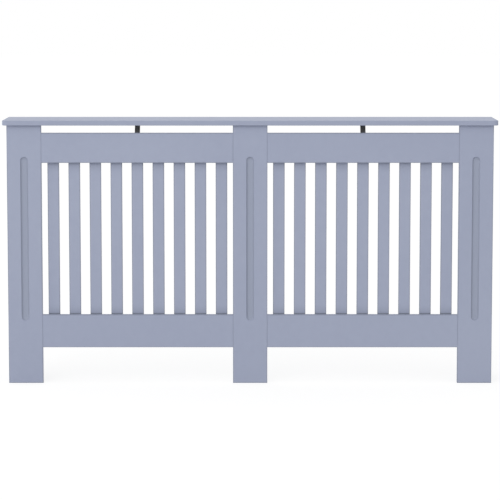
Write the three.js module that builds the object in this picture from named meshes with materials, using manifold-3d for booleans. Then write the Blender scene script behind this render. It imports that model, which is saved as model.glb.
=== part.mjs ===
// Radiator cover cabinet: a painted board cover that stands over a wall radiator.
// A shelf lies on three fluted front legs and two side panels. Two slatted grilles fill the front between
// the legs. The back and the bottom are open, and steel straps and brackets hold the boards from inside.
// Millimetres, +Z up. The front faces -Y, the wall is at +Y and the origin is on the floor under the middle.

import * as THREE from 'three';
import { mergeVertices } from 'three/addons/utils/BufferGeometryUtils.js';
import Module from 'manifold-3d';

const wasm = await Module();
wasm.setup();

// ---- Driving dimensions ----

const OVERALL_WIDTH = 1520; // shelf, end to end
const OVERALL_DEPTH = 190; // shelf front edge to wall
const OVERALL_HEIGHT = 815; // floor to shelf top

const SHELF_THICKNESS = 15;
const SHELF_FRONT_OVERHANG = 13; // shelf past the legs' front faces
const SHELF_SIDE_OVERHANG = 13; // shelf past the side panels
const SHELF_CORNER_RADIUS = 15; // front corners, seen from above
const SHELF_EASE = 1.5; // rounding of the shelf's long edges

const FRAME_THICKNESS = 12; // legs and rails, cut from one board
const SIDE_THICKNESS = 12;
const LEG_WIDTH = 106;
const EDGE_EASE = 0.8; // rounding of every other board edge

const SHELF_GAP = 23.5; // open slot between the shelf and the top rails
const TOP_RAIL_HEIGHT = 92;
const BOTTOM_RAIL_HEIGHT = 102;
const FLOOR_GAP = 112; // open space under the bottom rails

const SLAT_COUNT = 9; // in each grille
const SLAT_WIDTH = 35.5;
const SLAT_THICKNESS = 6;
const SLAT_END_GAP = 17.6; // leg to the first and last slat

const FLUTE_WIDTH = 24; // at the leg's face
const FLUTE_DEPTH = 5;
const FLUTE_COVE = 8; // hollow radius between the flute's wall and floor
const FLUTE_OVERRUN = 19; // flute past the grille's window, at each end

const SKIRTING_HEIGHT = 120; // notch in the side panels for the room's skirting board
const SKIRTING_DEPTH = 20;
const SKIRTING_CORNER = 8; // radius inside the notch

const DOWEL_DIAMETER = 6;
const DOWEL_LENGTH = 30; // half in the leg and half in the rail
const DOWEL_CHAMFER = 1;

const STEEL_THICKNESS = 2; // every strap, plate and bracket
const BEND_RADIUS = 2; // inside of a bend
const STRAP_CORNER = 4; // rounded corners at the end of a strap or plate
const SCREW_HOLE = 4.5;
const SCREW_INSET = 7; // strap end to its nearest hole
const SCREW_PITCH = 12;

const PLATE_LENGTH = 76; // flat plate over each joint of leg and rail
const PLATE_WIDTH = 16;
const PLATE_INSET = 24; // plate middle to the rail edge that is away from the slats

const BRACE_WIDTH = 16;
const BRACE_DROP = 20; // top of the rail down to the brace's lower bend
const BRACE_FOOT = 27; // length that lies on the rail
const BRACE_RUN = 26; // how far the brace leans back from the rail
const BRACE_TAB = 28; // length that lies under the shelf

const BRACKET_WING = 30;
const BRACKET_WIDTH = 20;
const CORNER_BRACKET_DROP = 90; // shelf down to the upper corner brackets
const CORNER_BRACKET_RISE = 60; // floor up to the lower corner brackets
const WALL_BRACKET_DROP = 90; // shelf down to the wall brackets
const SHELF_BRACKET_SETBACK = 90; // frame back to the brackets between side panel and shelf

// ---- Clearances and smoothness ----

const DOWEL_CLEARANCE = 0.3; // round a dowel and past its ends
const SEAT_GAP = 0.3; // paint and play between a bent bracket and its boards
const SLAT_CLEARANCE = 9; // slat top to the brace's foot
const CUT_OVER = 2; // how far a cutting shape runs past a face

const EASE_STEPS = 2;
const COVE_STEPS = 5;
const BOARD_ARC_STEPS = 6;
const STRAP_ARC_STEPS = 2;
const BEND_STEPS = 4;
const HOLE_SIDES = 12;
const DOWEL_SIDES = 16;

// ---- Worked out from the dimensions ----

const wall = OVERALL_DEPTH / 2;
const frameFront = SHELF_FRONT_OVERHANG - OVERALL_DEPTH / 2;
const frameBack = frameFront + FRAME_THICKNESS;
const shelfUnderside = OVERALL_HEIGHT - SHELF_THICKNESS;

const frameHalfWidth = OVERALL_WIDTH / 2 - SHELF_SIDE_OVERHANG;
const outerLegCentre = frameHalfWidth - LEG_WIDTH / 2;
const sideInner = frameHalfWidth - SIDE_THICKNESS;
const grilleWidth = outerLegCentre - LEG_WIDTH;
const grilleCentre = outerLegCentre / 2;

const topRailTop = shelfUnderside - SHELF_GAP;
const windowTop = topRailTop - TOP_RAIL_HEIGHT;
const windowBottom = FLOOR_GAP + BOTTOM_RAIL_HEIGHT;
const railMiddles = { top: (topRailTop + windowTop) / 2, bottom: (FLOOR_GAP + windowBottom) / 2 };
const plateHeights = { top: topRailTop - PLATE_INSET, bottom: FLOOR_GAP + PLATE_INSET };

const braceBend = topRailTop - BRACE_DROP;
const slatLap = TOP_RAIL_HEIGHT - BRACE_DROP - BRACE_FOOT - SLAT_CLEARANCE;
const slatLength = windowTop - windowBottom + 2 * slatLap;
const slatPitch = (grilleWidth - 2 * SLAT_END_GAP - SLAT_WIDTH) / (SLAT_COUNT - 1);

// ---- Directions ----

const RIGHT = new THREE.Vector3(1, 0, 0);
const LEFT = new THREE.Vector3(-1, 0, 0);
const BACK = new THREE.Vector3(0, 1, 0);
const FRONT = new THREE.Vector3(0, -1, 0);
const UP = new THREE.Vector3(0, 0, 1);

// Each basis says where an outline's own x, y and thickness point once it is turned.
const FACING_FRONT = new THREE.Matrix4().makeBasis(RIGHT, UP, FRONT);
const FACING_SIDE = new THREE.Matrix4().makeBasis(BACK, UP, RIGHT);
const END_DOWN = new THREE.Matrix4().makeBasis(FRONT, UP, LEFT);
// A rod stands along its own y, and this lays it along x.
const LAID_ALONG_X = new THREE.Matrix4().makeBasis(UP, RIGHT, BACK);

// ---- Finishes ----

const paintedBoard = () => new THREE.MeshStandardMaterial({ color: 0x9fa6b9, roughness: 0.55, metalness: 0 });
const blackSteel = () => new THREE.MeshStandardMaterial({ color: 0x242425, roughness: 0.5, metalness: 0.2 });
const beech = () => new THREE.MeshStandardMaterial({ color: 0xcba578, roughness: 0.75, metalness: 0 });

// ---- Shaping ----

function toSolid(geometry) {
  const bare = geometry.clone();
  bare.deleteAttribute('normal');
  bare.deleteAttribute('uv');
  const merged = mergeVertices(bare);
  const mesh = new wasm.Mesh({
    numProp: 3,
    vertProperties: merged.attributes.position.array,
    triVerts: Uint32Array.from(merged.index.array),
  });
  return new wasm.Manifold(mesh);
}

function toGeometry(solid) {
  const { vertProperties, triVerts } = solid.getMesh();
  const geometry = new THREE.BufferGeometry();
  geometry.setAttribute('position', new THREE.BufferAttribute(vertProperties, 3));
  geometry.setIndex(new THREE.BufferAttribute(triVerts, 1));
  geometry.computeVertexNormals();
  return geometry;
}

function cut(geometry, cutters) {
  const solid = cutters.reduce((body, cutter) => body.subtract(toSolid(cutter)), toSolid(geometry));
  return toGeometry(solid);
}

// An outline given a thickness from 0 upwards, with a quarter round of the given radius on both faces' edges.
function slab(outline, thickness, ease, easeSteps = EASE_STEPS) {
  const geometry = new THREE.ExtrudeGeometry(outline, {
    depth: thickness - 2 * ease,
    bevelThickness: ease,
    bevelSize: ease,
    bevelOffset: -ease,
    bevelSegments: easeSteps,
    curveSegments: BOARD_ARC_STEPS,
  });
  return geometry.translate(0, 0, ease);
}

// An outline given a thickness from 0 upwards, with sharp edges.
function sheet(outline, thickness) {
  return new THREE.ExtrudeGeometry(outline, {
    depth: thickness,
    bevelEnabled: false,
    curveSegments: STRAP_ARC_STEPS,
  });
}

// A board that faces the room: its front is at y = 0, its back at y = thickness.
function facingFront(geometry, thickness) {
  return geometry.applyMatrix4(FACING_FRONT).translate(0, thickness, 0);
}

// A plain board that faces the room, centred on x = 0 and standing on z = 0.
function uprightBoard(width, height, thickness) {
  const outline = new THREE.Shape();
  outline.moveTo(-width / 2, 0);
  outline.lineTo(width / 2, 0);
  outline.lineTo(width / 2, height);
  outline.lineTo(-width / 2, height);
  return facingFront(slab(outline, thickness, EDGE_EASE), thickness);
}

// A slot with half-round ends, centred on x = 0.
function stadium(width, bottom, top) {
  const radius = width / 2;
  const outline = new THREE.Shape();
  outline.absarc(0, bottom + radius, radius, Math.PI, 2 * Math.PI);
  outline.absarc(0, top - radius, radius, 0, Math.PI);
  return outline;
}

// A strap's outline from above: square at x = start, rounded corners at x = end.
function strapOutline(start, end, width) {
  const side = width / 2;
  const outline = new THREE.Shape();
  outline.moveTo(start, side);
  outline.lineTo(start, -side);
  outline.absarc(end - STRAP_CORNER, STRAP_CORNER - side, STRAP_CORNER, -Math.PI / 2, 0);
  outline.absarc(end - STRAP_CORNER, side - STRAP_CORNER, STRAP_CORNER, 0, Math.PI / 2);
  return outline;
}

// ---- Painted boards ----

function shelfGeometry() {
  const [halfWidth, halfDepth, radius] = [OVERALL_WIDTH / 2, OVERALL_DEPTH / 2, SHELF_CORNER_RADIUS];
  const outline = new THREE.Shape();
  outline.moveTo(halfWidth, halfDepth);
  outline.lineTo(-halfWidth, halfDepth);
  outline.absarc(radius - halfWidth, radius - halfDepth, radius, Math.PI, 1.5 * Math.PI);
  outline.absarc(halfWidth - radius, radius - halfDepth, radius, 1.5 * Math.PI, 2 * Math.PI);
  return slab(outline, SHELF_THICKNESS, SHELF_EASE);
}

// The shape of a stopped flute. Its rounded far edge leaves the cove between the flute's wall and floor. When
// the cove is deeper than the flute, the leg's face meets it below its widest, and the spread makes up for that.
function fluteCutter() {
  const cutShort = Math.max(FLUTE_COVE - FLUTE_DEPTH, 0);
  const spread = FLUTE_COVE - Math.sqrt(FLUTE_COVE ** 2 - cutShort ** 2);
  const [bottom, top] = [windowBottom - FLUTE_OVERRUN - spread, windowTop + FLUTE_OVERRUN + spread];
  const outline = stadium(FLUTE_WIDTH + 2 * spread, bottom, top);
  const reach = FLUTE_DEPTH + cutShort + FLUTE_COVE + CUT_OVER;
  return facingFront(slab(outline, reach, FLUTE_COVE, COVE_STEPS), FLUTE_DEPTH);
}

// A blind dowel hole in a board's end at x, whose bottom lies towards the board's middle.
function dowelHole(x, height) {
  const depth = DOWEL_LENGTH / 2 + DOWEL_CLEARANCE;
  const length = depth + CUT_OVER;
  const radius = DOWEL_DIAMETER / 2 + DOWEL_CLEARANCE;
  const middle = x - Math.sign(x) * (depth - length / 2);
  const hole = new THREE.CylinderGeometry(radius, radius, length, DOWEL_SIDES).applyMatrix4(LAID_ALONG_X);
  return hole.translate(middle, FRAME_THICKNESS / 2, height);
}

// A leg has dowel holes in the edges that meet a rail: -1 is its left edge and 1 its right edge.
function legGeometry(jointedEdges) {
  const board = uprightBoard(LEG_WIDTH, shelfUnderside, FRAME_THICKNESS);
  const holes = jointedEdges.flatMap((edge) =>
    Object.values(railMiddles).map((height) => dowelHole(edge * LEG_WIDTH / 2, height)));
  return cut(board, [fluteCutter(), ...holes]);
}

function railGeometry(height) {
  const board = uprightBoard(grilleWidth, height, FRAME_THICKNESS);
  return cut(board, [-1, 1].map((end) => dowelHole(end * grilleWidth / 2, height / 2)));
}

// A side panel, from the back of the frame to the wall, notched at the lower back for the skirting board.
function sideGeometry() {
  const [notchFront, corner] = [wall - SKIRTING_DEPTH, SKIRTING_CORNER];
  const outline = new THREE.Shape();
  outline.moveTo(frameBack, 0);
  outline.lineTo(notchFront, 0);
  outline.absarc(notchFront + corner, SKIRTING_HEIGHT - corner, corner, Math.PI, Math.PI / 2, true);
  outline.lineTo(wall, SKIRTING_HEIGHT);
  outline.lineTo(wall, shelfUnderside);
  outline.lineTo(frameBack, shelfUnderside);
  return slab(outline, SIDE_THICKNESS, EDGE_EASE).applyMatrix4(FACING_SIDE);
}

// ---- Dowels and ironwork ----

function dowelGeometry() {
  const [radius, half] = [DOWEL_DIAMETER / 2, DOWEL_LENGTH / 2];
  const profile = [
    new THREE.Vector2(0, -half),
    new THREE.Vector2(radius - DOWEL_CHAMFER, -half),
    new THREE.Vector2(radius, DOWEL_CHAMFER - half),
    new THREE.Vector2(radius, half - DOWEL_CHAMFER),
    new THREE.Vector2(radius - DOWEL_CHAMFER, half),
    new THREE.Vector2(0, half),
  ];
  return new THREE.LatheGeometry(profile, DOWEL_SIDES).applyMatrix4(LAID_ALONG_X);
}

// A screw hole along y, as the solid that cuts it.
function screwHole() {
  const radius = SCREW_HOLE / 2;
  return new THREE.CylinderGeometry(radius, radius, STEEL_THICKNESS + 2 * CUT_OVER, HOLE_SIDES);
}

// How far each of a strap's two screw holes lies from its end.
const screwPlaces = [SCREW_INSET, SCREW_INSET + SCREW_PITCH];

// A flat plate over the joint of a leg and a rail, with two screws in each.
function plateGeometry() {
  const [end, side, corner] = [PLATE_LENGTH / 2, PLATE_WIDTH / 2, STRAP_CORNER];
  const outline = new THREE.Shape();
  outline.absarc(end - corner, corner - side, corner, -Math.PI / 2, 0);
  outline.absarc(end - corner, side - corner, corner, 0, Math.PI / 2);
  outline.absarc(corner - end, side - corner, corner, Math.PI / 2, Math.PI);
  outline.absarc(corner - end, corner - side, corner, Math.PI, 1.5 * Math.PI);
  const holes = [-1, 1].flatMap((hand) => screwPlaces.map((place) =>
    screwHole().translate(hand * (end - place), STEEL_THICKNESS / 2, 0)));
  return cut(facingFront(sheet(outline, STEEL_THICKNESS), STEEL_THICKNESS), holes);
}

// The unit vector to the right of the way from one point to the next.
function rightOf(from, to) {
  const way = to.clone().sub(from).normalize();
  return new THREE.Vector2(way.y, -way.x);
}

// A line of points moved to its own right, with mitred corners.
function movedRight(points, distance) {
  return points.map((point, i) => {
    const before = i > 0 ? rightOf(points[i - 1], point) : rightOf(point, points[1]);
    const after = i < points.length - 1 ? rightOf(point, points[i + 1]) : before;
    const mitre = before.clone().add(after).normalize();
    return point.clone().addScaledVector(mitre, distance / mitre.dot(before));
  });
}

// A line of points that only turns right, with an arc of the given radius at each corner.
function roundedRight(points, radius) {
  const arcs = points.slice(1, -1).flatMap((corner, i) => {
    const [before, after] = [rightOf(points[i], corner), rightOf(corner, points[i + 2])];
    const turn = Math.acos(before.dot(after));
    const backwards = new THREE.Vector2(before.y, -before.x);
    const start = corner.clone().addScaledVector(backwards, radius * Math.tan(turn / 2));
    const centre = start.clone().addScaledVector(before, radius);
    return Array.from({ length: BEND_STEPS + 1 }, (_, step) =>
      start.clone().rotateAround(centre, -turn * step / BEND_STEPS));
  });
  return [points[0], ...arcs, points.at(-1)];
}

// A steel strap bent across its width. The line is the face that lies on the boards: it starts upwards from
// the origin, turns right at each bend and ends along +x. Each end has rounded corners and two screw holes.
function strapGeometry(line, width) {
  const end = line.at(-1);
  const outer = roundedRight(line, BEND_RADIUS + STEEL_THICKNESS);
  const inner = roundedRight(movedRight(line, STEEL_THICKNESS), BEND_RADIUS);
  const profile = new THREE.Shape([...outer, ...inner.reverse()]);
  const blank = sheet(profile, width + 2 * CUT_OVER).translate(0, 0, -CUT_OVER - width / 2);

  const tabTrim = sheet(strapOutline(-CUT_OVER, end.x, width), end.y + 2 * CUT_OVER);
  tabTrim.applyMatrix4(FACING_FRONT).translate(0, end.y + CUT_OVER, 0);
  const footTrim = sheet(strapOutline(-CUT_OVER - end.y, 0, width), end.x + 2 * CUT_OVER);
  footTrim.applyMatrix4(END_DOWN).translate(end.x + CUT_OVER, 0, 0);
  const trimmed = toSolid(blank).intersect(toSolid(tabTrim)).intersect(toSolid(footTrim));

  const tabHoles = screwPlaces.map((place) => screwHole().translate(end.x - place, end.y, 0));
  const footHoles = screwPlaces.map((place) => screwHole().applyMatrix4(LAID_ALONG_X).translate(0, place, 0));
  return cut(toGeometry(trimmed), [...tabHoles, ...footHoles]);
}

// A right-angled bracket whose outer corner is at the origin, less the play to both boards.
function bracketGeometry() {
  const line = [
    new THREE.Vector2(0, 0),
    new THREE.Vector2(0, BRACKET_WING),
    new THREE.Vector2(BRACKET_WING, BRACKET_WING),
  ];
  return strapGeometry(line, BRACKET_WIDTH).translate(SEAT_GAP, -BRACKET_WING - SEAT_GAP, 0);
}

// The brace leans back from its foot on the rail's back face to its tab under the shelf.
function braceGeometry() {
  const top = shelfUnderside - braceBend + BRACE_FOOT;
  const line = [
    new THREE.Vector2(0, 0),
    new THREE.Vector2(0, BRACE_FOOT),
    new THREE.Vector2(BRACE_RUN, top),
    new THREE.Vector2(BRACE_RUN + BRACE_TAB, top),
  ];
  return strapGeometry(line, BRACE_WIDTH).translate(SEAT_GAP, -top - SEAT_GAP, 0);
}

// ---- Assembly ----

function piece(name, geometry, material, x, y, z) {
  const mesh = new THREE.Mesh(geometry, material);
  mesh.name = name;
  mesh.position.set(x, y, z);
  return mesh;
}

// A bent strap whose own x and y point along and up, with its corner at x, y, z.
function strap(name, geometry, [x, y, z], along, up) {
  const mesh = piece(name, geometry, blackSteel(), x, y, z);
  mesh.quaternion.setFromRotationMatrix(new THREE.Matrix4().makeBasis(along, up, along.clone().cross(up)));
  return mesh;
}

function slats(hand) {
  const first = SLAT_END_GAP + SLAT_WIDTH / 2 - grilleWidth / 2;
  return Array.from({ length: SLAT_COUNT }, (_, i) => {
    const board = uprightBoard(SLAT_WIDTH, slatLength, SLAT_THICKNESS);
    const x = first + i * slatPitch;
    return piece(`${hand}_slat_${i + 1}`, board, paintedBoard(), x, FRAME_THICKNESS, windowBottom - slatLap);
  });
}

// A grille: two rails between two legs, slats planted on the rails' backs, a dowel and a plate at each
// joint with a leg, and the brace up to the shelf. Its own y = 0 is the front of the frame.
function grille(hand, side) {
  const group = new THREE.Group();
  group.position.set(side * grilleCentre, frameFront, 0);
  group.add(
    piece(`${hand}_top_rail`, railGeometry(TOP_RAIL_HEIGHT), paintedBoard(), 0, 0, windowTop),
    piece(`${hand}_bottom_rail`, railGeometry(BOTTOM_RAIL_HEIGHT), paintedBoard(), 0, 0, FLOOR_GAP),
    ...slats(hand),
    strap(`${hand}_brace`, braceGeometry(), [0, FRAME_THICKNESS, shelfUnderside], BACK, UP),
  );
  for (const level of ['top', 'bottom']) {
    for (const [end, edge] of [['outer', side], ['inner', -side]]) {
      const joint = edge * grilleWidth / 2;
      const name = `${hand}_${level}_${end}`;
      group.add(
        piece(`${name}_dowel`, dowelGeometry(), beech(), joint, FRAME_THICKNESS / 2, railMiddles[level]),
        piece(`${name}_plate`, plateGeometry(), blackSteel(), joint, FRAME_THICKNESS, plateHeights[level]),
      );
    }
  }
  return group;
}

// The brackets that join a side panel to the leg in front of it, to the shelf and to the wall.
function sideBrackets(hand, side) {
  const group = new THREE.Group();
  const inward = side < 0 ? RIGHT : LEFT;
  const x = side * sideInner;
  const upper = [x, frameBack, shelfUnderside - CORNER_BRACKET_DROP];
  const lower = [x, frameBack, CORNER_BRACKET_RISE];
  const toWall = [x, wall, shelfUnderside - WALL_BRACKET_DROP];
  const toShelf = [x, frameBack + SHELF_BRACKET_SETBACK, shelfUnderside];
  group.add(
    strap(`${hand}_upper_corner_bracket`, bracketGeometry(), upper, inward, FRONT),
    strap(`${hand}_lower_corner_bracket`, bracketGeometry(), lower, inward, FRONT),
    strap(`${hand}_wall_bracket`, bracketGeometry(), toWall, inward, BACK),
    strap(`${hand}_shelf_bracket`, bracketGeometry(), toShelf, inward, UP),
  );
  return group;
}

const cabinet = new THREE.Group();
cabinet.add(
  piece('top_shelf', shelfGeometry(), paintedBoard(), 0, 0, shelfUnderside),
  piece('left_leg', legGeometry([1]), paintedBoard(), -outerLegCentre, frameFront, 0),
  piece('centre_leg', legGeometry([-1, 1]), paintedBoard(), 0, frameFront, 0),
  piece('right_leg', legGeometry([-1]), paintedBoard(), outerLegCentre, frameFront, 0),
  piece('left_side_panel', sideGeometry(), paintedBoard(), -frameHalfWidth, 0, 0),
  piece('right_side_panel', sideGeometry(), paintedBoard(), sideInner, 0, 0),
  strap('centre_shelf_bracket', bracketGeometry(), [0, frameBack, shelfUnderside], BACK, UP),
);
for (const [hand, side] of [['left', -1], ['right', 1]]) {
  cabinet.add(grille(hand, side), sideBrackets(hand, side));
}

export default cabinet;
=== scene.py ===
import math

import bpy
import numpy as np
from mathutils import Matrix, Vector


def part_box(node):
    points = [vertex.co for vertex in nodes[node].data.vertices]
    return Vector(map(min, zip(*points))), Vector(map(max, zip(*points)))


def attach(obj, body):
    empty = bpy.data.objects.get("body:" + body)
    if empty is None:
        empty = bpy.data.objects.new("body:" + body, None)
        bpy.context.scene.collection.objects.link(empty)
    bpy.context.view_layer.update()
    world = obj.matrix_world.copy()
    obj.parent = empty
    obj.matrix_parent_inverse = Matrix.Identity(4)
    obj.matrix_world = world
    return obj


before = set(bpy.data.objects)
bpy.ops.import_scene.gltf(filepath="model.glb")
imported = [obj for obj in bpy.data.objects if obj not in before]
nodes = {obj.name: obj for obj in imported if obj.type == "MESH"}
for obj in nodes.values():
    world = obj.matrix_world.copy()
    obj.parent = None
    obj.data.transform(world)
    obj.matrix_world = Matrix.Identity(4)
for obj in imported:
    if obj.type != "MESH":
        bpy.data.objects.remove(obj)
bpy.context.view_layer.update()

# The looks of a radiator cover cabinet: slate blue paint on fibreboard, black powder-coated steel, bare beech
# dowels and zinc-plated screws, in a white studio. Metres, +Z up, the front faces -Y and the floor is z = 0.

MM = 0.001


# ---- Shader arithmetic ----

class Value:
    """An output socket. Arithmetic with it adds Math nodes to its tree."""

    def __init__(self, finish, socket):
        self.finish, self.socket = finish, socket

    def math(self, operation, *others):
        sockets = {0: self, **dict(enumerate(others, 1))}
        return self.finish.node("ShaderNodeMath", {"operation": operation}, sockets)

    def __add__(self, other):
        return self.math("ADD", other)

    def __sub__(self, other):
        return self.math("SUBTRACT", other)

    def __mul__(self, other):
        return self.math("MULTIPLY", other)

    def __rsub__(self, other):
        return self * -1.0 + other

    def __abs__(self):
        return self.math("ABSOLUTE")

    __radd__ = __add__
    __rmul__ = __mul__


class Finish:
    """A material, or the world, under construction."""

    def __init__(self, owner, output="ShaderNodeOutputMaterial"):
        owner.use_nodes = True
        self.owner, self.tree, self.output = owner, owner.node_tree, output
        self.tree.nodes.clear()

    def node(self, kind, settings=None, sockets=None, output=0):
        """Adds a node, gives it its settings and then its sockets' values or links, and returns an output."""
        node = self.tree.nodes.new(kind)
        for name, value in (settings or {}).items():
            setattr(node, name, value)
        for key, value in (sockets or {}).items():
            if isinstance(value, Value):
                self.tree.links.new(value.socket, node.inputs[key])
            else:
                node.inputs[key].default_value = value
        return None if output is None else Value(self, node.outputs[output])

    def place(self):
        """Object coordinates. Every piece's object sits at the origin, so they are metres in the shared frame."""
        return self.node("ShaderNodeTexCoord", output="Object")

    def part(self, vector, axis):
        return self.node("ShaderNodeSeparateXYZ", sockets={0: vector}, output=axis)

    def noise(self, place, scale, detail=2.0, roughness=0.5):
        """Cloudy noise from 0 to 1, with `scale` lumps to the metre."""
        sockets = {"Vector": place, "Scale": scale, "Detail": detail, "Roughness": roughness}
        return self.node("ShaderNodeTexNoise", sockets=sockets)

    def stretched(self, place, scales):
        """Coordinates with a scale of their own along each axis."""
        return self.node("ShaderNodeVectorMath", {"operation": "MULTIPLY"}, {0: place, 1: scales})

    def ramp(self, value, low, high):
        """A smooth step from 0 at `low` to 1 at `high`."""
        settings = {"interpolation_type": "SMOOTHSTEP"}
        return self.node("ShaderNodeMapRange", settings, {"Value": value, "From Min": low, "From Max": high})

    def within(self, value, low, high, soft):
        """1 between `low` and `high`, and 0 outside them, with steps that reach `soft` to both sides."""
        return self.ramp(value, low - soft, low + soft) * (1.0 - self.ramp(value, high - soft, high + soft))

    def near(self, value, places, full, none):
        """1 up to `full` from the nearest of the places, and 0 from `none` on."""
        nearest, *others = [abs(value - place) for place in places]
        for gap in others:
            nearest = nearest.math("MINIMUM", gap)
        return 1.0 - self.ramp(nearest, full, none)

    def blend(self, factor, a, b):
        return self.node("ShaderNodeMix", {"data_type": "RGBA"}, {0: factor, 6: a, 7: b}, output=2)

    def bump(self, height, distance):
        return self.node("ShaderNodeBump", sockets={"Height": height, "Distance": distance})

    def shade(self, shader):
        self.node(self.output, sockets={"Surface": shader}, output=None)
        return self.owner

    def surface(self, sockets):
        return self.shade(self.node("ShaderNodeBsdfPrincipled", sockets=sockets))


def material(name):
    return Finish(bpy.data.materials.new(name))


def linear(red, green, blue):
    """A colour given as 0 to 255 screen values, in the linear values that shaders use."""
    screen = np.array([red, green, blue]) / 255
    light = np.where(screen <= 0.04045, screen / 12.92, ((screen + 0.055) / 1.055) ** 2.4)
    return (*light.tolist(), 1.0)


# ---- Paint ----

SLATE = linear(161, 168, 190)
SLATE_LIGHT = linear(166, 173, 194)
# painted shade for the recess of a flute
SLATE_FLUTE_SHADE = linear(158, 165, 184)
# thin paint on cut edges and worn corners; the same colour also serves as painted shade
SLATE_THIN_AND_SHADE = linear(128, 134, 150)
# a painted shadow line along a slat's foot
SLATE_FOOT_SHADOW = linear(96, 98, 104)

# How thin the paint is, and how much painted shade lies on it: 0 is a full coat, and 1 is the thin, shaded colour
# all over.
CUT_THIN = 0.33               # on a cut edge
WORN_THIN = 0.7               # on the eased corner between an edge and a face
ARRIS_SHADE = 0.9              # painted shade on a face, beside its arris
FLUTE_WALL_SHADE = 0.04             # painted shade on a flute's walls
FOOT_SHADE = 0.3               # painted shade on a slat, just above the bottom rail
HEAD_SHADE = 0.28              # painted shade on a slat, just under the top rail

ARRIS_NEAR = 0.6 * MM         # the painted shade beside an arris is full this far from it, and gone at ARRIS_FAR
ARRIS_FAR = 3 * MM
FOOT_REACH = 32 * MM          # the painted shade above the bottom rail and under the top rail fades out over these heights
HEAD_REACH = 34 * MM
FOOT_SHADOW_BELOW = 1 * MM           # the painted shadow line at a slat's foot fades out from just under the rail's edge
FOOT_SHADOW_ABOVE = 5 * MM
# how far a slat's foot takes on the painted shadow line
FOOT_SHADOW_COVER = 0.9
SEAM_FILL = 0.5               # share of the thin paint and painted shade that a filled seam hides
SEAM_SOFT = 1 * MM
FLUTE_LIP = 1 * MM            # the flute's painted shade starts this deep, and ends as far under its floor
FLUTE_DEPTH = 5 * MM
FLUTE_SOFT = 0.5 * MM
PEEL_HEIGHT = 0.1 * MM        # of the orange peel and the grit


def slate_paint(name, face_axis, cut=CUT_THIN, worn=WORN_THIN,
                arrises=None, seams=(), fluted_face=None, window=None):
    """Sprayed satin paint on fibreboard whose faces look along face_axis. It has slow clouds, a fine mottle, orange
    peel and grit. The cut edges drink more of it, so they are duller and rougher, by `cut`, and the eased corners
    beside them by `worn`. Some boards have more:
    arrises      how far they lie from the middle along each axis; the faces beside them carry painted shade
    seams        pairs of heights between which a rail butts against the board, and paint fills the seam
    fluted_face  the y of the face that the flute is cut into; the flute is painted greyer as shade in its recess,
    and its walls darker still
    window       the two heights between which a slat shows; painted shade darkens it close to the rails, and a
             painted shadow line lies along its foot, both on its front only"""
    finish = material(name)
    place = finish.place()
    cloud = finish.noise(place, scale=2.2, detail=3.0)
    mottle = finish.noise(place, scale=38.0, detail=4.0, roughness=0.6)
    peel = finish.noise(place, scale=420.0)
    grit = finish.noise(place, scale=1700.0)
    normal = finish.node("ShaderNodeNewGeometry", output="True Normal")
    facing = abs(finish.part(normal, face_axis))
    edge = 1.0 - finish.ramp(facing, 0.9, 0.98)
    eased = finish.ramp(facing, 0.05, 0.2)

    tone = cloud * 0.6 + mottle * 0.4
    colour = finish.blend(finish.ramp(tone, 0.3, 0.7), SLATE, SLATE_LIGHT)
    thin_and_shade = edge * (cut + eased * (worn - cut)) * (0.7 + grit * 0.6)
    for axis, places in (arrises or {}).items():
        # painted shade on the faces beside each arris
        beside = finish.near(abs(finish.part(place, axis)), places, ARRIS_NEAR, ARRIS_FAR)
        thin_and_shade = thin_and_shade + (1.0 - edge) * beside * ARRIS_SHADE
    for low, high in seams:
        filled = finish.within(finish.part(place, "Z"), low, high, SEAM_SOFT)
        thin_and_shade = thin_and_shade * (1.0 - filled * SEAM_FILL)
    # painted shade in the flute: greyer through the recess, darker on its walls
    if fluted_face is not None:
        lip = fluted_face + FLUTE_LIP
        flute_shade = finish.within(finish.part(place, "Y"), lip, lip + FLUTE_DEPTH, FLUTE_SOFT)
        colour = finish.blend(flute_shade * (0.8 + grit * 0.4), colour, SLATE_FLUTE_SHADE)
        thin_and_shade = thin_and_shade + flute_shade * edge * FLUTE_WALL_SHADE
    foot_shadow = None
    # painted shade on a slat near the rails, and a painted shadow line along its foot, on its front only
    if window is not None:
        foot, head = window
        height = finish.part(place, "Z")
        front = 1.0 - finish.ramp(finish.part(normal, "Y"), 0.2, 0.8)
        shade_above_foot = 1.0 - finish.ramp(height, foot, foot + FOOT_REACH)
        shade_below_head = finish.ramp(height, head - HEAD_REACH, head)
        thin_and_shade = thin_and_shade + front * (shade_above_foot * FOOT_SHADE + shade_below_head * HEAD_SHADE)
        foot_shadow = front * (1.0 - finish.ramp(height, foot - FOOT_SHADOW_BELOW, foot + FOOT_SHADOW_ABOVE)) * FOOT_SHADOW_COVER
    # thin paint on cut edges and worn corners, together with the painted shade above
    colour = finish.blend(thin_and_shade.math("MINIMUM", 1.0), colour, SLATE_THIN_AND_SHADE)
    if foot_shadow is not None:
        colour = finish.blend(foot_shadow, colour, SLATE_FOOT_SHADOW)

    relief = peel * (1.0 - edge * 0.5) + grit * (0.15 + edge * 0.6)
    return finish.surface({
        "Base Color": colour,
        "Roughness": 0.5 + (mottle - 0.5) * 0.12 + edge * 0.12,
        "Normal": finish.bump(relief, PEEL_HEIGHT),
        "Specular IOR Level": 0.3,
    })


# ---- Steel, zinc and beech ----

COAT_DARK = linear(80, 79, 76)
COAT_LIGHT = linear(98, 95, 90)
ZINC_DARK = linear(188, 188, 184)
ZINC_LIGHT = linear(214, 212, 204)
BEECH_DARK = linear(186, 146, 102)
BEECH_LIGHT = linear(216, 180, 136)
BEECH_FLECK = linear(140, 98, 62)


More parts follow.
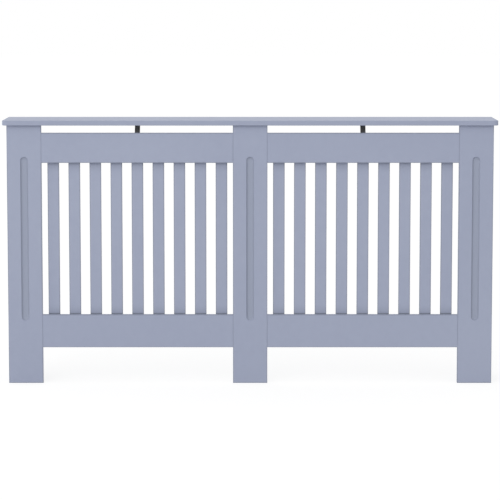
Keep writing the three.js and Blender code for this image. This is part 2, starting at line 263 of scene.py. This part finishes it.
def powder_coat():
    """Black powder coat: small lumps, and patches that took a little more or less of it."""
    finish = material("black_powder_coat")
    place = finish.place()
    lumps = finish.noise(place, scale=1500.0, detail=3.0)
    patches = finish.noise(place, scale=120.0, detail=3.0)
    return finish.surface({
        "Base Color": finish.blend(patches, COAT_DARK, COAT_LIGHT),
        "Roughness": 0.38 + lumps * 0.2,
        "Normal": finish.bump(lumps, 0.08 * MM),
        "Specular IOR Level": 0.7,
    })


def zinc_plate():
    """Bright zinc with dull patches and fine scratches that run level."""
    finish = material("zinc_plate")
    place = finish.place()
    patches = finish.noise(place, scale=300.0, detail=4.0, roughness=0.6)
    scratches = finish.noise(finish.stretched(place, (1.0, 1.0, 14.0)), scale=900.0)
    return finish.surface({
        "Base Color": finish.blend(patches, ZINC_DARK, ZINC_LIGHT),
        "Metallic": 1.0,
        "Roughness": 0.26 + patches * 0.16 + scratches * 0.06,
        "Normal": finish.bump(scratches, 0.01 * MM),
    })


def beech():
    """Fine straight grain along x, with the short dark flecks of beech."""
    finish = material("beech")
    place = finish.place()
    grain = finish.noise(finish.stretched(place, (0.06, 1.0, 1.0)), scale=1400.0, detail=4.0, roughness=0.6)
    flecks = finish.noise(finish.stretched(place, (0.25, 1.0, 1.0)), scale=2600.0, detail=1.0)
    wood = finish.blend(grain, BEECH_DARK, BEECH_LIGHT)
    return finish.surface({
        "Base Color": finish.blend(finish.ramp(flecks, 0.62, 0.7) * 0.6, wood, BEECH_FLECK),
        "Roughness": 0.62 + grain * 0.15,
        "Normal": finish.bump(grain, 0.05 * MM),
    })


# ---- Which node has which finish ----

def named(*endings):
    return [name for name in nodes if name.endswith(endings)]


def dress(coat, names):
    for name in names:
        slots = nodes[name].data.materials
        slots.clear()
        slots.append(coat)


def faces_at(axis, names):
    """Where the two faces of each node's box lie along an axis."""
    return [end["XYZ".index(axis)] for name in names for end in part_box(name)]


slats = [name for name in nodes if "_slat_" in name]
right_slats = [name for name in slats if name.startswith("right")]
bottom_rail = faces_at("Z", ["right_bottom_rail"])
top_rail = faces_at("Z", ["right_top_rail"])
window = bottom_rail[1], top_rail[0]

# The cover's halves mirror each other, so the places along x are those of the right half.
centre_low, centre_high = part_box("centre_leg")
leg_arrises = {"X": faces_at("X", ["right_leg"]) + [centre_high[0]], "Z": [centre_low[2]]}
rail_arrises = {"Z": bottom_rail + top_rail}
slat_arrises = {"X": faces_at("X", right_slats)}

dress(slate_paint("slate_paint_shelf", "Z", cut=0.05, worn=0.1), ["top_shelf"])
dress(slate_paint("slate_paint_sides", "X"), named("_side_panel"))
dress(slate_paint("slate_paint_rails", "Y", cut=0.3, worn=0.15, arrises=rail_arrises), named("_rail"))
dress(slate_paint("slate_paint_slats", "Y", arrises=slat_arrises, window=window), slats)
leg_paint = slate_paint("slate_paint_legs", "Y", worn=0.2, arrises=leg_arrises,
                        seams=[bottom_rail, top_rail], fluted_face=centre_low[1])
dress(leg_paint, named("_leg"))
dress(powder_coat(), named("_brace", "_bracket", "_plate"))
dress(beech(), named("_dowel"))


# ---- Screws ----

RIGHT, BACK, UP = np.eye(3)

STEEL = 2 * MM                # thickness of every strap, plate and bracket
HOLE_PLACES = (7 * MM, 19 * MM)   # from a strap's end
HEAD_RADIUS = 3.7 * MM
HEAD_HEIGHT = 2.1 * MM
HEAD_RINGS = (0.0, 0.12, 0.26, 0.4, 0.52, 0.64, 0.8, 0.92, 0.985, 1.0)   # shares of the head's radius
SHANK_RADIUS = 1.9 * MM
SHANK_LENGTH = 10.5 * MM      # from under the head to the point
TAPER = 0.7                   # share of the shank's length where its point starts
HALF_WIDTH_AT = 0.9           # share of the length where the point is half as wide
RECESS_ARM = 2.1 * MM         # middle of the head to the end of the cross's arm
RECESS_HALF_WIDTH = 0.55 * MM
RECESS_DEPTH = 1.2 * MM
RECESS_SOFT = 0.25 * MM       # the recess's walls spread this far to both sides
SCREW_SIDES = 24


def smooth_step(value, low, high):
    t = np.clip((value - low) / (high - low), 0, 1)
    return t * t * (3 - 2 * t)


def screw_surface():
    """A pan-head screw with a cross recess, along +z, with its head's seat at z = 0: vertices on a grid of angle
    and profile. The head's top is height * (1 - (r / radius)^3) ^ 0.5, less the recess, whose depth fades out
    across the edge of each arm, and the profile goes on under the head, down the shank and to a point."""
    rings = np.array(HEAD_RINGS) * HEAD_RADIUS
    dome = HEAD_HEIGHT * np.sqrt(np.clip(1 - (rings / HEAD_RADIUS) ** 3, 0, None))
    tail_radius = np.array([HEAD_RADIUS, SHANK_RADIUS, SHANK_RADIUS, SHANK_RADIUS / 2, 0.0])
    tail_height = np.array([0.0, 0.0, TAPER, HALF_WIDTH_AT, 1.0]) * -SHANK_LENGTH
    radius = np.concatenate([rings, tail_radius])[None, :]
    height = np.concatenate([dome, tail_height])[None, :]
    angle = np.linspace(0, 2 * math.pi, SCREW_SIDES, endpoint=False)[:, None]
    x, y = radius * np.cos(angle), radius * np.sin(angle)
    across = np.minimum(abs(x), abs(y))
    along = np.maximum(abs(x), abs(y))
    arm = 1 - smooth_step(across, RECESS_HALF_WIDTH - RECESS_SOFT, RECESS_HALF_WIDTH + RECESS_SOFT)
    reach = 1 - smooth_step(along, RECESS_ARM - RECESS_SOFT, RECESS_ARM + RECESS_SOFT)
    on_head = np.arange(radius.size)[None, :] < rings.size
    return np.stack([x, y, height - RECESS_DEPTH * arm * reach * on_head], axis=-1)


def closed_surface(name, grids):
    """A mesh of one or more surfaces. Each grid closes round its first way, and its first and last columns are
    the poles, whose vertices are merged into one."""
    sides, steps = grids[0].shape[:2]
    column = np.arange(1, steps - 1)
    body = grids[:, :, 1:-1].reshape(len(grids), -1, 3)
    poles = grids[:, 0, [0, -1]]
    vertices = np.concatenate([body, poles], axis=1)
    index = np.arange(sides * len(column)).reshape(sides, len(column))
    after = np.roll(index, -1, axis=0)
    quads = np.stack([index[:, :-1], index[:, 1:], after[:, 1:], after[:, :-1]], axis=-1).reshape(-1, 4)
    first, last = sides * len(column), sides * len(column) + 1
    top = np.stack([np.full(sides, first), index[:, 0], after[:, 0]], axis=-1)
    end = np.stack([np.full(sides, last), after[:, -1], index[:, -1]], axis=-1)
    stride = vertices.shape[1]
    faces = []
    for copy in range(len(grids)):
        faces += (quads + copy * stride).tolist() + (np.concatenate([top, end]) + copy * stride).tolist()
    mesh = bpy.data.meshes.new(name)
    mesh.from_pydata(vertices.reshape(-1, 3).tolist(), [], faces)
    mesh.update()
    mesh.polygons.foreach_set("use_smooth", np.ones(len(mesh.polygons), bool))
    piece = bpy.data.objects.new(name, mesh)
    bpy.context.scene.collection.objects.link(piece)
    return piece


def turned(grid, way, spin):
    """The grid with its z axis turned to the unit vector `way`, after a turn of `spin` about its own axis."""
    side = np.cross(way, UP if abs(way[2]) < 0.9 else BACK)
    third = np.cross(way, side)
    along = math.cos(spin) * side + math.sin(spin) * third
    return grid[..., :1] * along + grid[..., 1:2] * np.cross(way, along) + grid[..., 2:] * way


def corner(node, *ways):
    """The corner of a node's box that lies furthest against the given ways, in the middle of the third way."""
    low, high = np.array(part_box(node))
    point = (low + high) / 2
    for way in ways:
        axis = int(np.argmax(np.abs(way)))
        point[axis] = low[axis] if way[axis] > 0 else high[axis]
    return point


def bracket_screws(node, along, away, both=True):
    """Places and ways of the screws of a bent strap. One wing runs `away` from the corner and its screws look
    `along`; the other runs `along` and its screws look `away`, and has none where `both` is false."""
    low, high = np.array(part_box(node))
    start = corner(node, along, away)
    wings = [(away, along), (along, away)] if both else [(away, along)]
    found = []
    for run, look in wings:
        length = abs((high - low) @ run)
        found += [(start + run * (length - place) + look * STEEL, look) for place in HOLE_PLACES]
    return found


def plate_screws(node):
    """Places and ways of the four screws of a flat plate, which look to the back."""
    low, high = np.array(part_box(node))
    middle = (low + high) / 2
    across = [low[0] + place for place in HOLE_PLACES] + [high[0] - place for place in HOLE_PLACES]
    return [(np.array([x, high[1], middle[2]]), BACK) for x in across]


screw_places = {node: plate_screws(node) for node in named("_plate")}
for node in ("centre_shelf_bracket", "left_brace", "right_brace"):
    screw_places[node] = bracket_screws(node, BACK, -UP)
for hand, inward in (("left", RIGHT), ("right", -RIGHT)):
    for level in ("upper", "lower"):
        name = f"{hand}_{level}_corner_bracket"
        screw_places[name] = bracket_screws(name, inward, BACK)
    screw_places[f"{hand}_shelf_bracket"] = bracket_screws(f"{hand}_shelf_bracket", inward, -UP)
    screw_places[f"{hand}_wall_bracket"] = bracket_screws(f"{hand}_wall_bracket", inward, -BACK, both=False)

zinc = zinc_plate()
screw = screw_surface()
spins = np.random.default_rng(11)
for node, places in screw_places.items():
    grids = np.stack([turned(screw, way, spins.uniform(0, math.pi)) + at for at, way in places])
    screws = closed_surface(f"{node}_screws", grids)
    screws.data.materials.append(zinc)
    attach(screws, "root")


# ---- Studio ----

FLOOR_SIZE = 60.0
FLOOR_LIT = 0.7               # the floor's grey, as the object is lit by it
FLOOR_SHADOW = 0.22           # the part of the floor's white that a shadow takes away, as the camera sees it
FLOOR_GLOW = 0.82             # the part that stays
WORLD_LEFT = 1.14             # how strongly the world lights the object from the left, and from the right
WORLD_RIGHT = 0.55
WHITE = (1.0, 1.0, 1.0, 1.0)


def grey(level):
    return (level, level, level, 1.0)


def white_to_camera(finish, seen, lit):
    """`seen` is what the camera sees, directly or in a reflection, and `lit` is what lights the object."""
    path = finish.node("ShaderNodeLightPath")
    outputs = {out.name: Value(finish, out) for out in path.socket.node.outputs}
    eye = outputs["Is Camera Ray"] + outputs["Is Glossy Ray"] + outputs["Is Transmission Ray"]
    return finish.node("ShaderNodeMixShader", sockets={0: eye.math("MINIMUM", 1.0), 1: lit, 2: seen})


def floor_finish():
    """Pale and matt. To the camera it is white with the object's shadow on it."""
    finish = material("studio_floor")
    lit = finish.node("ShaderNodeBsdfDiffuse", sockets={"Color": grey(FLOOR_LIT)})
    matt = finish.node("ShaderNodeBsdfDiffuse", sockets={"Color": grey(FLOOR_SHADOW)})
    glow = finish.node("ShaderNodeEmission", sockets={"Color": WHITE, "Strength": FLOOR_GLOW})
    seen = finish.node("ShaderNodeAddShader", sockets={0: matt, 1: glow})
    return finish.shade(white_to_camera(finish, seen, lit))


def studio_world():
    """White to the camera. As a light it is brighter on the left, and falls off evenly to the right."""
    finish = Finish(bpy.data.worlds.new("studio"), "ShaderNodeOutputWorld")

    def glow(strength):
        return finish.node("ShaderNodeBackground", sockets={"Color": WHITE, "Strength": strength})

    across = finish.part(finish.node("ShaderNodeTexCoord", output="Generated"), "X")
    halves = {0: across * 0.5 + 0.5, 1: glow(WORLD_LEFT), 2: glow(WORLD_RIGHT)}
    lit = finish.node("ShaderNodeMixShader", sockets=halves)
    return finish.shade(white_to_camera(finish, glow(1.0), lit))


def softbox(name, at, aim, size, power):
    light = bpy.data.lights.new(name, "AREA")
    light.shape = "RECTANGLE"
    light.size, light.size_y = size
    light.energy = power
    lamp = bpy.data.objects.new(name, light)
    lamp.location = at
    lamp.rotation_mode = "QUATERNION"
    lamp.rotation_quaternion = (Vector(aim) - Vector(at)).to_track_quat("-Z", "Y")
    bpy.context.scene.collection.objects.link(lamp)


bpy.ops.mesh.primitive_plane_add(size=FLOOR_SIZE)
floor = bpy.context.object
floor.name = "studio_floor"
floor.data.materials.append(floor_finish())
bpy.context.scene.world = studio_world()
softbox("key", at=(-3.6, -7.8, 4.8), aim=(0, 0, 0.45), size=(4.2, 4.2), power=176)


# ---- Camera ----

PICTURE = 500                 # pixels, each way
SENSOR = 36.0                 # mm
FOCAL_PIXELS = 2099.0
CAMERA_SIDE = -0.0005
CAMERA_BACK = 6.5             # in front of the origin
CAMERA_HEIGHT = 1.228
TILT_DOWN = 5.58              # degrees
SHIFT = -0.12                 # share of the picture
CLIP_END = 100.0

lens = bpy.data.cameras.new("camera")
lens.sensor_width = SENSOR
lens.lens = FOCAL_PIXELS * SENSOR / PICTURE
lens.shift_y = SHIFT
lens.clip_end = CLIP_END
camera = bpy.data.objects.new("camera", lens)
camera.location = (CAMERA_SIDE, -CAMERA_BACK, CAMERA_HEIGHT)
camera.rotation_euler = (math.radians(90 - TILT_DOWN), 0, 0)
bpy.context.scene.collection.objects.link(camera)
bpy.context.scene.camera = camera
bpy.context.scene.view_settings.view_transform = "Standard"
